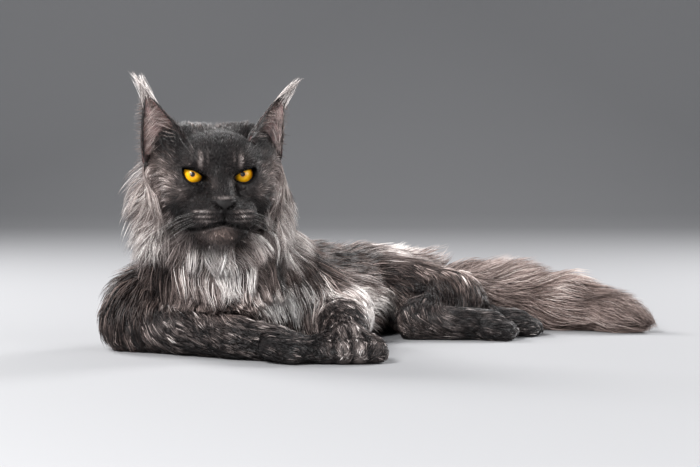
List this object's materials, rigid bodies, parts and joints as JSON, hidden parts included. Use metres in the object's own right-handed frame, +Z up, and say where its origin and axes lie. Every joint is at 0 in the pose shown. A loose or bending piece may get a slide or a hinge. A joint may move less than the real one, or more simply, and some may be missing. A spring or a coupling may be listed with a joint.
{
  "type": "maine coon cat",
  "caption": "Life-size still model of a long-haired large cat lying with its head raised, forelegs out in front, hips rolled to one side and its plumed tail laid out",
  "frame": {"origin": "centre of the bounding box's footprint, on the floor the cat lies on", "axes": "+Z up; +X along the cat's longest extent, from its right shoulder towards the tip of its tail; +Y away from the side its chest and face are turned to"},
  "size_m": [0.592, 0.4742, 0.283],
  "materials": {
    "mask": "short charcoal fur",
    "ear": "thin ear skin under short fur",
    "eye": "amber eye",
    "silver": "long silver-grey coat",
    "smoke": "long smoke-brown coat",
    "black": "short near-black fur",
    "tail": "long pinkish-grey tail coat"
  },
  "bodies": {
    "root": {"head": "mask", "ear_right": "ear", "ear_left": "ear", "eye_right": "eye", "eye_left": "eye", "neck": "silver", "thorax": "smoke", "foreleg_right": "black", "foreleg_left": "black", "loin": "smoke", "thigh_left": "smoke", "thigh_right": "smoke", "hindfoot_left": "black", "hindfoot_right": "black", "tail_root": "tail", "tail_plume": "tail"}
  },
  "joints": []
}
